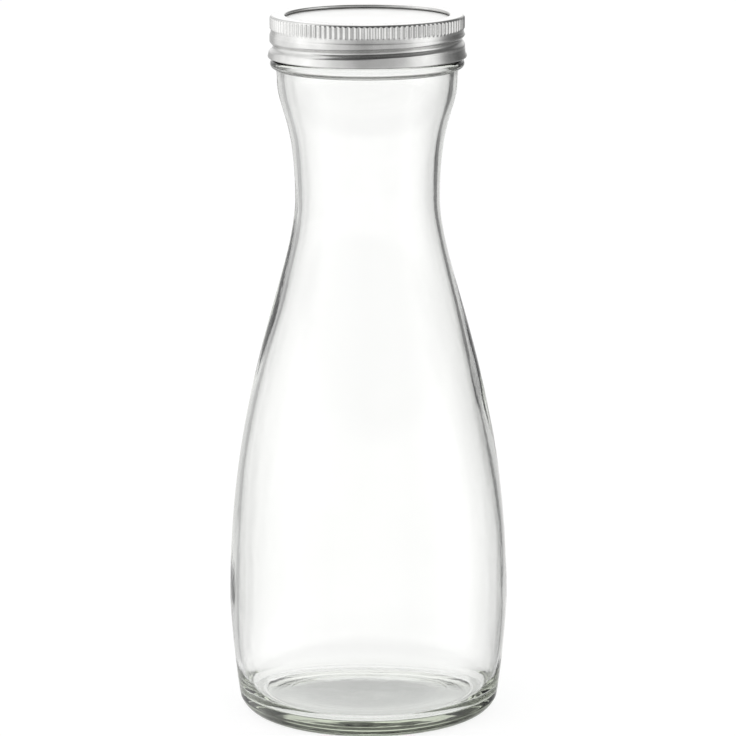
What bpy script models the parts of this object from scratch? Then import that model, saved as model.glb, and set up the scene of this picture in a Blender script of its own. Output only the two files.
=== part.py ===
"""A glass carafe closed by a two-piece screw lid.

The bottle stands on its foot ring, with the ring's centre at the origin and its axis along +Z.
The lid is a flat disc with a sealing ring under its edge, held down by a knurled screw band.
Lengths are in metres, angles in radians. A point of an outline is (radius, height).
"""

from math import acos, asin, atan2, cos, degrees, hypot, pi, radians, sin

import bmesh
import bpy

OBJECT_NAME = "glass_carafe"

# Bottle: a height is above the foot, a drop is below the rim
BOTTLE_HEIGHT = 0.2590
FINISH_DIAMETER = 0.0670
FINISH_WALL = 0.0032
RIM_ROUNDING = 0.0011
BEAD_OVERHANG = 0.0022
BEAD_THICKNESS = 0.0037
BEAD_TO_NECK = 0.0035
NECK_DIAMETER = 0.0666
NECK_WALL = 0.0030
WAIST_DIAMETER = 0.0536
WAIST_DROP = 0.0645
WAIST_WALL = 0.0025
BELLY_DIAMETER = 0.1042
BELLY_HEIGHT = 0.0437
BELLY_WALL = 0.0030
FOOT_RING_DIAMETER = 0.0822
FOOT_RING_WIDTH = 0.0015
HEEL_RADIUS = 0.0079
HEEL_LEAN = radians(20)
FLOOR_WALL = 0.0053
FLOOR_DISHING = 0.0006
PUSH_UP = 0.0018

# How far each curve holds the direction of its two ends, as shares of its height or width
NECK_SHARES = (0.27, 0.685)
BODY_SHARES = (0.177, 0.531)
FOOT_SHARES = (0.31, 0.036)
INNER_FOOT_SHARES = (0.93, 0.75)
FLOOR_SHARES = (0.30, 0.42)
PUSH_UP_SHARES = (0.25, 0.75)
FLOOR_EDGE_SHARE = 0.80

# Thread on the bottle: a right-hand helix that ends at the top angle, counted from +X
THREAD_PITCH = 0.00508
THREAD_DEPTH = 0.00125
THREAD_RADIUS = 0.0013
THREAD_DROP = 0.0041
THREAD_TURNS = 1.08
THREAD_TOP_ANGLE = radians(305)
THREAD_RUN_OUT = radians(24)
THREAD_END_SHARE = 0.3

# Screw band
BAND_HEIGHT = 0.0157
BAND_SHEET = 0.00035
OPENING_DIAMETER = 0.0604
HEM_BORE = 0.0003
SHOULDER_BEND = 0.00045
KNURL_PLAY = 0.00025
KNURL_DROP = 0.0006
KNURL_LENGTH = 0.0046
KNURL_DEPTH = 0.0004
KNURL_WIDTH = 0.0017
KNURL_COUNT = 112
NECKING_PLAY = 0.00035
NECKING_LENGTH = 0.0011
SKIRT_PLAY = 0.00075
CURL_BORE = 0.0008
CURL_REACH_SHARE = 0.3
BAND_TO_BEAD = 0.0004

# Thread rolled into the band's skirt as a groove seen from outside
GROOVE_DEPTH = 0.0012
GROOVE_WIDTH = 0.0040
GROOVE_START = radians(-10)
GROOVE_TURNS = 1.14
GROOVE_RUN_OUT = radians(60)

# Lid disc and sealing ring
DISC_SHEET = 0.00035
DISC_EDGE_PLAY = 0.00035
DISC_EDGE_DROP = 0.0010
DISC_EDGE_BEND = 0.0003
PANEL_RECESS = 0.0003
PANEL_MARGIN = 0.0006
PANEL_SLOPE = 0.0007
SEAL_THICKNESS = 0.0012
SEAL_CHAMFER = 0.0002

# Air between pieces that touch on the real carafe
SEAT_GAP = 0.0003

# Fineness of the round shapes
BOTTLE_SEGMENTS = 48
BAND_SEGMENTS = 56
DISC_SEGMENTS = 48
THREAD_STEPS_PER_TURN = 48
GROOVE_RINGS = 8
MERGE_DISTANCE = 0.000005
SHARP_ANGLE = radians(35)

# Places that follow from the sizes
FINISH_RADIUS = FINISH_DIAMETER / 2
BORE_RADIUS = FINISH_RADIUS - FINISH_WALL
OPENING_RADIUS = OPENING_DIAMETER / 2
THREAD_CREST = FINISH_RADIUS + THREAD_DEPTH
THREAD_TOP = BOTTLE_HEIGHT - THREAD_DROP
SEAL_BOTTOM = BOTTLE_HEIGHT + SEAT_GAP
SEAL_TOP = SEAL_BOTTOM + SEAL_THICKNESS
DISC_TOP = SEAL_TOP + SEAT_GAP + DISC_SHEET
DISC_RADIUS = FINISH_RADIUS + DISC_EDGE_PLAY + DISC_SHEET
PANEL_RADIUS = OPENING_RADIUS + PANEL_MARGIN
HEM_RADIUS = BAND_SHEET + HEM_BORE / 2
CURL_RADIUS = BAND_SHEET + CURL_BORE / 2
BAND_TOP = DISC_TOP + SEAT_GAP + 2 * HEM_RADIUS
BAND_BOTTOM = BAND_TOP - BAND_HEIGHT
KNURL_INNER = THREAD_CREST + KNURL_PLAY
KNURL_BOTTOM = BAND_TOP - KNURL_DROP - KNURL_LENGTH
NECKING_INNER = THREAD_CREST + NECKING_PLAY
NECKING_HEIGHT = KNURL_BOTTOM - NECKING_LENGTH
SKIRT_INNER = THREAD_CREST + SKIRT_PLAY
SKIRT_TOP = NECKING_HEIGHT - NECKING_LENGTH
SKIRT_BOTTOM = BAND_BOTTOM + 2.5 * CURL_RADIUS
GROOVE_BELOW_THREAD = THREAD_RADIUS + GROOVE_WIDTH / 4
BEAD_MIDDLE = BAND_BOTTOM - BAND_TO_BEAD - BEAD_THICKNESS / 2
NECK_TOP = BEAD_MIDDLE - BEAD_THICKNESS / 2 - BEAD_TO_NECK
WAIST_HEIGHT = BOTTLE_HEIGHT - WAIST_DROP

# Each finish is a name, a linear RGB colour, a roughness and a metallic value
GLASS = ("clear_glass", (0.93, 0.97, 0.95), 0.02, 0.0)
BAND_METAL = ("satin_band_metal", (0.72, 0.72, 0.71), 0.30, 1.0)
DISC_METAL = ("bright_disc_plate", (0.86, 0.86, 0.85), 0.24, 1.0)
SEAL_COMPOUND = ("seal_compound", (0.62, 0.60, 0.56), 0.60, 0.0)
GLASS_IOR = 1.51


def clear_scene():
    for obj in list(bpy.data.objects):
        bpy.data.objects.remove(obj, do_unlink=True)


def new_collection(name):
    collection = bpy.data.collections.new(name)
    bpy.context.scene.collection.children.link(collection)
    return collection


def make_material(finish, transmission=0.0):
    name, colour, roughness, metallic = finish
    material = bpy.data.materials.new(name)
    material.use_nodes = True
    shader = material.node_tree.nodes["Principled BSDF"]
    shader.inputs["Base Color"].default_value = (*colour, 1.0)
    shader.inputs["Roughness"].default_value = roughness
    shader.inputs["Metallic"].default_value = metallic
    shader.inputs["Transmission Weight"].default_value = transmission
    shader.inputs["IOR"].default_value = GLASS_IOR
    return material


def arc(centre, radius, start, end, steps):
    """Points of a round stretch, from the start angle to the end angle in degrees."""
    points = []
    for i in range(steps + 1):
        angle = radians(start + (end - start) * i / steps)
        points.append((centre[0] + radius * cos(angle), centre[1] + radius * sin(angle)))
    return points


def bend(start, start_pull, end_pull, end, steps):
    """Points of a smooth curve that leaves start towards start_pull and meets end from end_pull."""
    corners = (start, start_pull, end_pull, end)
    points = []
    for i in range(steps + 1):
        t = i / steps
        weights = ((1 - t) ** 3, 3 * t * (1 - t) ** 2, 3 * t * t * (1 - t), t**3)
        points.append(tuple(sum(w * c[k] for w, c in zip(weights, corners)) for k in (0, 1)))
    return points


def upright_bend(top, bottom, shares, steps):
    """A curve down between two levels that is upright at both."""
    height = top[1] - bottom[1]
    top_pull = (top[0], top[1] - shares[0] * height)
    bottom_pull = (bottom[0], bottom[1] + shares[1] * height)
    return bend(top, top_pull, bottom_pull, bottom, steps)


def joined(*stretches):
    """One outline from stretches, without doubled points where they meet."""
    outline = []
    for stretch in stretches:
        for point in stretch:
            if outline and hypot(point[0] - outline[-1][0], point[1] - outline[-1][1]) < MERGE_DISTANCE:
                continue
            outline.append(point)
    return outline


def turned(name, outline, segments, collection, closed):
    """A solid of revolution about Z, from an outline that runs down its outer side."""
    count = len(outline)
    edges = [(i, i + 1) for i in range(count - 1)]
    if closed:
        edges.append((count - 1, 0))
    mesh = bpy.data.meshes.new(name)
    mesh.from_pydata([(radius, 0, height) for radius, height in outline], edges, [])
    obj = bpy.data.objects.new(name, mesh)
    collection.objects.link(obj)
    screw = obj.modifiers.new("turn", "SCREW")
    screw.axis = "Z"
    screw.angle = 2 * pi
    screw.steps = segments
    screw.render_steps = segments
    screw.use_merge_vertices = True
    screw.merge_threshold = MERGE_DISTANCE
    return obj


def evaluated_mesh(obj):
    bpy.context.view_layer.update()
    graph = bpy.context.evaluated_depsgraph_get()
    return bpy.data.meshes.new_from_object(obj.evaluated_get(graph))


def settle(obj):
    """Keeps the shape that the modifiers give, without the modifiers."""
    mesh = evaluated_mesh(obj)
    obj.modifiers.clear()
    obj.data = mesh


def join_with(obj, cutter):
    """Adds a second solid to the first with a Boolean union."""
    cutter.hide_render = True
    cutter.display_type = "WIRE"
    union = obj.modifiers.new("join", "BOOLEAN")
    union.operation = "UNION"
    union.solver = "EXACT"
    union.object = cutter


def complete(obj, material):
    """Settles a piece, shades it smooth but for its edges, and gives it its material."""
    settle(obj)
    obj.data.materials.clear()
    obj.data.materials.append(material)
    obj.data.shade_smooth()
    obj.data.set_sharp_from_angle(angle=SHARP_ANGLE)


def bottle_outside():
    """From the rim's crown down the outside to the middle of the push-up."""
    neck = (NECK_DIAMETER / 2, NECK_TOP)
    waist = (WAIST_DIAMETER / 2, WAIST_HEIGHT)
    belly = (BELLY_DIAMETER / 2, BELLY_HEIGHT)
    ring = FOOT_RING_DIAMETER / 2
    heel = (ring, HEEL_RADIUS)
    heel_top = (ring + HEEL_RADIUS * cos(HEEL_LEAN), HEEL_RADIUS * (1 - sin(HEEL_LEAN)))
    rim = (FINISH_RADIUS - RIM_ROUNDING, BOTTLE_HEIGHT - RIM_ROUNDING)
    bead = []
    for angle in (90, 60, 30, 0, -30, -60, -90):
        reach = BEAD_OVERHANG * cos(radians(angle))
        bead.append((FINISH_RADIUS + reach, BEAD_MIDDLE + BEAD_THICKNESS / 2 * sin(radians(angle))))
    foot_height = belly[1] - heel_top[1]
    foot_pull = FOOT_SHARES[1] * foot_height
    foot = bend(
        belly,
        (belly[0], belly[1] - FOOT_SHARES[0] * foot_height),
        (heel_top[0] + foot_pull * sin(HEEL_LEAN), heel_top[1] + foot_pull * cos(HEEL_LEAN)),
        heel_top,
        steps=5,
    )
    hollow = ring - FOOT_RING_WIDTH
    push_up = bend(
        (hollow, 0),
        (hollow * (1 - PUSH_UP_SHARES[0]), PUSH_UP),
        (hollow * PUSH_UP_SHARES[1], PUSH_UP),
        (0, PUSH_UP),
        steps=5,
    )
    return joined(
        arc(rim, RIM_ROUNDING, 90, 0, steps=3),
        bead,
        upright_bend(neck, waist, NECK_SHARES, steps=7),
        upright_bend(waist, belly, BODY_SHARES, steps=10),
        foot,
        arc(heel, HEEL_RADIUS, -degrees(HEEL_LEAN), -90, steps=4),
        push_up,
    )


def bottle_inside():
    """From the middle of the floor up the inside to the rim's crown."""
    neck = (NECK_DIAMETER / 2 - NECK_WALL, NECK_TOP)
    waist = (WAIST_DIAMETER / 2 - WAIST_WALL, WAIST_HEIGHT)
    belly = (BELLY_DIAMETER / 2 - BELLY_WALL, BELLY_HEIGHT)
    middle = (0, PUSH_UP + FLOOR_WALL)
    edge = (FLOOR_EDGE_SHARE * belly[0], middle[1] - FLOOR_DISHING)
    rise = belly[1] - edge[1]
    spread = belly[0] - edge[0]
    corner = bend(
        belly,
        (belly[0], belly[1] - INNER_FOOT_SHARES[0] * rise),
        (edge[0] + INNER_FOOT_SHARES[1] * spread, edge[1]),
        edge,
        steps=7,
    )
    floor = bend(
        edge,
        (edge[0] * (1 - FLOOR_SHARES[0]), edge[1]),
        (edge[0] * FLOOR_SHARES[1], middle[1]),
        middle,
        steps=4,
    )
    rim = (BORE_RADIUS + RIM_ROUNDING, BOTTLE_HEIGHT - RIM_ROUNDING)
    downwards = joined(
        arc(rim, RIM_ROUNDING, 90, 180, steps=3),
        upright_bend(neck, waist, NECK_SHARES, steps=6),
        upright_bend(waist, belly, BODY_SHARES, steps=8),
        corner,
        floor,
    )
    return downwards[::-1]


def thread_height(angle):
    """Height of the bottle's thread at an angle that counts its turns."""
    return THREAD_TOP + THREAD_PITCH * (angle - THREAD_TOP_ANGLE) / (2 * pi)


def thread_ridge(collection):
    """The bottle's thread: a round bead along a helix, half sunk in the wall and fading at its ends."""
    curve = bpy.data.curves.new("thread_path", "CURVE")
    curve.dimensions = "3D"
    curve.bevel_depth = THREAD_RADIUS
    curve.bevel_resolution = 2
    curve.use_fill_caps = True
    sweep = 2 * pi * THREAD_TURNS
    last = int(THREAD_STEPS_PER_TURN * THREAD_TURNS)
    spline = curve.splines.new("POLY")
    spline.points.add(last)
    for i, point in enumerate(spline.points):
        to_top = sweep * (last - i) / last
        angle = THREAD_TOP_ANGLE - to_top
        swell = sin(pi / 2 * min(1, min(to_top, sweep - to_top) / THREAD_RUN_OUT))
        radius = THREAD_CREST - THREAD_RADIUS - (1 - swell) * THREAD_DEPTH / 2
        point.co = (radius * cos(angle), radius * sin(angle), thread_height(angle), 1)
        point.radius = THREAD_END_SHARE + (1 - THREAD_END_SHARE) * swell
    path = bpy.data.objects.new("thread_path", curve)
    collection.objects.link(path)
    mesh = evaluated_mesh(path)
    solid = bmesh.new()
    solid.from_mesh(mesh)
    bmesh.ops.remove_doubles(solid, verts=solid.verts, dist=MERGE_DISTANCE)
    bmesh.ops.recalc_face_normals(solid, faces=solid.faces)
    solid.to_mesh(mesh)
    solid.free()
    ridge = bpy.data.objects.new("thread_ridge", mesh)
    ridge.matrix_world = path.matrix_world.copy()
    collection.objects.link(ridge)
    bpy.data.objects.remove(path)
    return ridge


def make_bottle(parts, cutters):
    outline = joined(bottle_inside(), bottle_outside())
    bottle = turned("glass_bottle", outline, BOTTLE_SEGMENTS, parts, closed=False)
    join_with(bottle, thread_ridge(cutters))
    complete(bottle, make_material(GLASS, transmission=1.0))


def skirt_levels():
    """Heights of the rings across the skirt, top to bottom."""
    step = (SKIRT_TOP - SKIRT_BOTTOM) / (GROOVE_RINGS - 1)
    return [SKIRT_TOP - step * i for i in range(GROOVE_RINGS)]


def band_outline():
    """The band's sheet: down its outer face, round the curled edge, up its inner face, round the hem."""
    levels = skirt_levels()
    knurl_wall = KNURL_INNER + BAND_SHEET
    skirt_wall = SKIRT_INNER + BAND_SHEET
    shoulder = (KNURL_INNER - SHOULDER_BEND, BAND_TOP - BAND_SHEET - SHOULDER_BEND)
    curl_reach = CURL_REACH_SHARE * CURL_RADIUS
    curl = (skirt_wall + curl_reach, BAND_BOTTOM + CURL_RADIUS)
    curl_start = degrees(acos(-curl_reach / CURL_RADIUS))
    curl_end = -degrees(acos(-(curl_reach + BAND_SHEET) / CURL_RADIUS))
    hem = (OPENING_RADIUS + HEM_RADIUS, BAND_TOP - HEM_RADIUS)
    hem_start = degrees(asin((HEM_RADIUS - BAND_SHEET) / HEM_RADIUS))
    return joined(
        arc(shoulder, SHOULDER_BEND + BAND_SHEET, 90, 0, steps=3),
        [(knurl_wall, KNURL_BOTTOM), (NECKING_INNER + BAND_SHEET, NECKING_HEIGHT)],
        [(skirt_wall, level) for level in levels],
        arc(curl, CURL_RADIUS, curl_start, curl_end, steps=7),
        [(SKIRT_INNER, level) for level in reversed(levels)],
        [(NECKING_INNER, NECKING_HEIGHT), (KNURL_INNER, KNURL_BOTTOM)],
        arc(shoulder, SHOULDER_BEND, 0, 90, steps=2),
        arc(hem, HEM_RADIUS, hem_start, -270, steps=7),
    )


def groove_depth(angle, height):
    """How far the rolled thread draws the skirt inwards at one place."""
    end = GROOVE_START + 2 * pi * GROOVE_TURNS
    deepest = 0
    for turn in range(-1, int(GROOVE_TURNS) + 2):
        along = angle + 2 * pi * turn
        off = abs(height - thread_height(along) + GROOVE_BELOW_THREAD)
        if along < GROOVE_START or along > end or off > GROOVE_WIDTH / 2:
            continue
        run_in = min(1, min(along - GROOVE_START, end - along) / GROOVE_RUN_OUT)
        depth = GROOVE_DEPTH * cos(pi * off / GROOVE_WIDTH) ** 2 * sin(pi / 2 * run_in)
        deepest = max(deepest, depth)
    return deepest


def roll_thread(mesh):
    """Presses the helical groove into the skirt, in both faces of the sheet alike."""
    for vertex in mesh.vertices:
        place = vertex.co
        radius = hypot(place.x, place.y)
        in_skirt = SKIRT_BOTTOM - MERGE_DISTANCE < place.z < SKIRT_TOP + MERGE_DISTANCE
        if in_skirt and radius > SKIRT_INNER - MERGE_DISTANCE:
            kept = 1 - groove_depth(atan2(place.y, place.x) % (2 * pi), place.z) / radius
            place.x *= kept
            place.y *= kept


def knurl_bars(collection):
    """The upright ridges that give grip: three-sided bars, each with one edge outwards."""
    crest = KNURL_INNER + BAND_SHEET + KNURL_DEPTH
    root = KNURL_INNER + BAND_SHEET / 2
    middle = KNURL_BOTTOM + KNURL_LENGTH / 2
    bars = bmesh.new()
    for i in range(KNURL_COUNT):
        angle = 2 * pi * i / KNURL_COUNT
        bar = bmesh.ops.create_cone(
            bars, cap_ends=True, segments=3, radius1=1, radius2=1, depth=KNURL_LENGTH
        )
        for vertex in bar["verts"]:
            outwards = crest if vertex.co.y > 0 else root
            sideways = 0
            if vertex.co.y < 0:
                sideways = KNURL_WIDTH / 2 if vertex.co.x > 0 else -KNURL_WIDTH / 2
            vertex.co.x = outwards * cos(angle) - sideways * sin(angle)
            vertex.co.y = outwards * sin(angle) + sideways * cos(angle)
            vertex.co.z += middle
    bmesh.ops.recalc_face_normals(bars, faces=bars.faces)
    mesh = bpy.data.meshes.new("knurl_bars")
    bars.to_mesh(mesh)
    bars.free()
    obj = bpy.data.objects.new("knurl_bars", mesh)
    collection.objects.link(obj)
    return obj


def make_band(parts, cutters):
    band = turned("screw_band", band_outline(), BAND_SEGMENTS, parts, closed=True)
    settle(band)
    roll_thread(band.data)
    join_with(band, knurl_bars(cutters))
    complete(band, make_material(BAND_METAL))


def make_disc(parts):
    """A flat plate with a recessed panel and an edge turned down over the bottle's rim."""
    panel_top = DISC_TOP - PANEL_RECESS
    slope_end = PANEL_RADIUS + PANEL_SLOPE
    inner_edge = DISC_RADIUS - DISC_SHEET
    edge = (inner_edge - DISC_EDGE_BEND, DISC_TOP - DISC_SHEET - DISC_EDGE_BEND)
    outline = joined(
        [(0, panel_top), (PANEL_RADIUS, panel_top), (slope_end, DISC_TOP)],
        arc(edge, DISC_EDGE_BEND + DISC_SHEET, 90, 0, steps=3),
        [(DISC_RADIUS, DISC_TOP - DISC_EDGE_DROP), (inner_edge, DISC_TOP - DISC_EDGE_DROP)],
        arc(edge, DISC_EDGE_BEND, 0, 90, steps=2),
        [(slope_end, DISC_TOP - DISC_SHEET), (PANEL_RADIUS, panel_top - DISC_SHEET)],
        [(0, panel_top - DISC_SHEET)],
    )
    disc = turned("lid_disc", outline, DISC_SEGMENTS, parts, closed=False)
    complete(disc, make_material(DISC_METAL))


def make_seal(parts):
    """The ring of sealing compound between the disc's edge and the bottle's rim."""
    outer = FINISH_RADIUS
    inner = PANEL_RADIUS + PANEL_SLOPE
    outline = [
        (outer - SEAL_CHAMFER, SEAL_TOP),
        (outer, SEAL_TOP - SEAL_CHAMFER),
        (outer, SEAL_BOTTOM + SEAL_CHAMFER),
        (outer - SEAL_CHAMFER, SEAL_BOTTOM),
        (inner + SEAL_CHAMFER, SEAL_BOTTOM),
        (inner, SEAL_BOTTOM + SEAL_CHAMFER),
        (inner, SEAL_TOP - SEAL_CHAMFER),
        (inner + SEAL_CHAMFER, SEAL_TOP),
    ]
    seal = turned("sealing_ring", outline, DISC_SEGMENTS, parts, closed=True)
    complete(seal, make_material(SEAL_COMPOUND))


def main():
    clear_scene()
    parts = new_collection(OBJECT_NAME)
    cutters = new_collection("cutters")
    make_bottle(parts, cutters)
    make_band(parts, cutters)
    make_disc(parts)
    make_seal(parts)


main()
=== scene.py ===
"""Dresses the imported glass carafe: the blown bottle, its knurled screw band, the lid disc and its seal.

Lengths are in metres in the carafe's own frame, with the foot's centre at the origin and +Z up.
A point of an outline is (radius, height). An angle round the axis is counted from +X.
"""

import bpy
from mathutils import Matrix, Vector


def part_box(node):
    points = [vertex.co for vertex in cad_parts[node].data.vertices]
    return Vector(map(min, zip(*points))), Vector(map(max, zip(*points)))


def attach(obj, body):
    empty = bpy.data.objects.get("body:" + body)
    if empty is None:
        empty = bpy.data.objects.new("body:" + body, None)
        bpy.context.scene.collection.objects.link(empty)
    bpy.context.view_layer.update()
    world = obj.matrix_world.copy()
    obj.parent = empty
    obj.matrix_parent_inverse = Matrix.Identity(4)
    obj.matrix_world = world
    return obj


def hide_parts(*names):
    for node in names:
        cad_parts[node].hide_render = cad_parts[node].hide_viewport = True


bl_info = {
    "name": "Glass Carafe",
    "version": (1, 0, 0),
    "blender": (4, 5, 0),
    "location": "3D View > Sidebar > Carafe",
    "description": "Builds a glass carafe with a two-piece screw lid around its packed model",
    "category": "Object",
}

from math import acos, asin, cos, degrees, hypot, pi, radians, sin, tan

import bmesh
import bpy
import numpy as np
from bpy.props import FloatProperty, FloatVectorProperty, IntProperty, PointerProperty
from mathutils import Euler, Vector

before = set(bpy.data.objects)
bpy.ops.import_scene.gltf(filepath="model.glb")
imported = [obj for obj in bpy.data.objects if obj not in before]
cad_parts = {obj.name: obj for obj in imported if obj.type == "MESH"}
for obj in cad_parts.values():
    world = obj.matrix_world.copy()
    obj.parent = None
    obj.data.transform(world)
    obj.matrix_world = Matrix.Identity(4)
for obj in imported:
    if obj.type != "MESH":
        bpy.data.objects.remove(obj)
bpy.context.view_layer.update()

GLASS_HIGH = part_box("glass_bottle")[1]
BAND_LOW, BAND_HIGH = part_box("screw_band")
DISC_LOW, DISC_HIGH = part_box("lid_disc")
SEAL_LOW, SEAL_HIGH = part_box("sealing_ring")

MERGE_DISTANCE = 0.000005
# How far past its edge a region of the bottle or the band still counts
EDGE_PLAY = 0.0001

# Pulls of the bottle's curves, as shares of the stretch that each one shapes
NECK_SHARES = (0.27, 0.685)
BODY_SHARES = (0.177, 0.531)
FOOT_SHARES = (0.31, 0.036)
INNER_FOOT_SHARES = (0.93, 0.75)
FLOOR_SHARES = (0.30, 0.42)
PUSH_UP_SHARES = (0.25, 0.75)
FLOOR_EDGE_SHARE = 0.80
# The bead's upper half is squarer than a half circle, whose power would be 1
BEAD_SQUARENESS = 0.6
BEAD_STEPS = 24
# Pulls of the short curve from the bead to the neck
UNDER_BEAD_PULL = 0.0004
ABOVE_NECK_PULL = 0.0008
# Half the width of the mould's ring mark
MARK_HALF_WIDTH = 0.0009

# The glass thread, and the groove rolled into the band to hook under it
THREAD_PITCH = 0.00508
THREAD_TOP_ANGLE = radians(305)
THREAD_RUN_OUT = radians(24)
# From the thread's middle down to the groove's side
THREAD_TO_GROOVE = 0.0013
GROOVE_START = radians(-10)
GROOVE_RUN_OUT = radians(60)

# The mould seams, with the closer steps round each of them in degrees
SEAM_ANGLES = (radians(-87), radians(93))
SEAM_HALF_WIDTH = radians(0.6)
SEAM_STEPS = (-0.9, -0.6, -0.35, -0.15, 0, 0.15, 0.35, 0.6, 0.9)

# The blown wall swells from above the floor to past the waist, most on one side of the belly
SWELL_START = 0.012
SWELL_RISE = 0.03
SWELL_PAST_WAIST = 0.02
SWELL_FALL = 0.06
BELLY_SWELL_SHARE = 0.55
BELLY_SWELL_START = 0.01
BELLY_SWELL_SPAN = 0.11
# Its finer waves: share of the swell, waves in a turn, turn for each metre of height, and offset
SWELL_WAVES = ((0.35, 2, 40, 0.6), (0.25, 3, -55, 0.0))

# The band's curled edge, in curl radii
CURL_REACH_SHARE = 0.3
CURL_HEIGHT_SHARE = 2.5
# The knurls fade out at their ends, and are narrower than the hollows between them
KNURL_FADE = 0.0005
KNURL_SHARPNESS = 1.4
STEPS_PER_KNURL = 8

# Grain of the surfaces, in cells for each metre: along X, Y and Z, or alike in all directions
GLASS_DRAW_LINES = (60.0, 60.0, 18.0)
GLASS_DIMPLES = 260.0
BAND_GRAIN = (300.0, 300.0, 4200.0)
BAND_PATCHES = 90.0
BAND_SPECKS = 2600.0
DISC_GRAIN = (1400.0, 1400.0, 1.0)
DISC_RINGS = 5200.0
DISC_CLOUD = 70.0
SEAL_CLOUD = 240.0
SEAL_GRAIN = 3800.0
TABLE_CLOUD = 3.0
# How deep that grain is
GLASS_RELIEF = 0.0006
BAND_RELIEF = 0.00006
DISC_RELIEF = 0.00005
SEAL_RELIEF = 0.00008
# How much of a colour is left where its surface is dull
BAND_DULL_SHARE = 0.86
DISC_DULL_SHARE = 0.95
SEAL_DULL_SHARE = 0.82
TABLE_DULL_SHARE = 0.99
# What the glass lets through to the table where its shadow falls
GLASS_SHADOW = (0.93, 0.95, 0.94, 1)

# The table: glass sees the surround through it, and more past the foot's edge, where it fades in
TABLE_FADE_RADII = (0.0440, 0.0470)
TABLE_CLEAR_SHARE = 0.63
TABLE_EXTRA_SHARE = 0.32
TABLE_MIRRORED_SHARE = 0.85
TABLE_WHITE_SHARE = 0.7
TABLE_WHITE_LEVEL = 1.13

# Brightness of the surround as glass bends it, by the sine of the turn from the nearest main direction
BENT_STOPS = (
    (0.0, 1.06), (0.061, 1.06), (0.087, 1.0), (0.148, 0.94), (0.208, 0.89), (0.276, 0.81), (0.375, 0.71),
    (0.47, 0.66), (0.51, 0.38), (0.68, 0.38), (0.707, 0.7),
)
# Edges in that surround, each as the two sines between which it fades, and the levels that they part
BACKDROP_SIDE = (0.62, 0.705)
SIDES_SOFTNESS = 0.6
BACKDROP_TOP = (0.10, 0.21)
ABOVE_BACKDROP = 0.10
FLAG_NEAR_SIDE = (0.49, 0.52)
FLAG_FAR_SIDE = (0.70, 0.74)
FLAG_FRONT = (0.0, 0.1)
FLAG_DARKNESS = 0.66
TABLE_EDGE = (-0.36, -0.22)
CONTRAST_BELOW = 0.12
OVERHEAD_EDGE = (0.45, 0.75)
OVERHEAD_LEVEL = 0.8

# Brightness of the surround low down as metal mirrors it: degrees right of straight behind, and level
MIRRORED_LEVELS = (
    (-180, 0.52), (-171, 0.6), (-160, 0.85), (-130, 1.3), (-112, 1.65), (-94, 1.65), (-73, 1.3), (-44, 1.1),
    (-37, 0.6), (-16, 0.6), (-8, 1.0), (8, 1.0), (23, 0.3), (47, 0.12), (75, 0.3), (95, 1.5), (113, 1.5),
    (137, 0.8), (166, 0.7), (180, 0.52),
)
BRIGHTEST = 2.0
# Edges in that surround, as before: the lit back, the dark canopy over the front, and the ground
LIT_BACK_SIDE = (0.75, 0.95)
LIT_BACK_FOOT = (0.0, 0.06)
LIT_BACK_LEVEL = 0.4
CANOPY_BACK = (-0.35, -0.05)
CANOPY_FOOT = (0.42, 0.56)
CANOPY_DARKNESS = 0.88
CANOPY_TURN = (-0.2, 0.2)
CANOPY_LEAN = 0.35
GROUND_EDGE = (-0.9, -0.55)
GROUND_LEVEL = 0.3

# How far the camera sees
VIEW_REACH = 40


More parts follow.
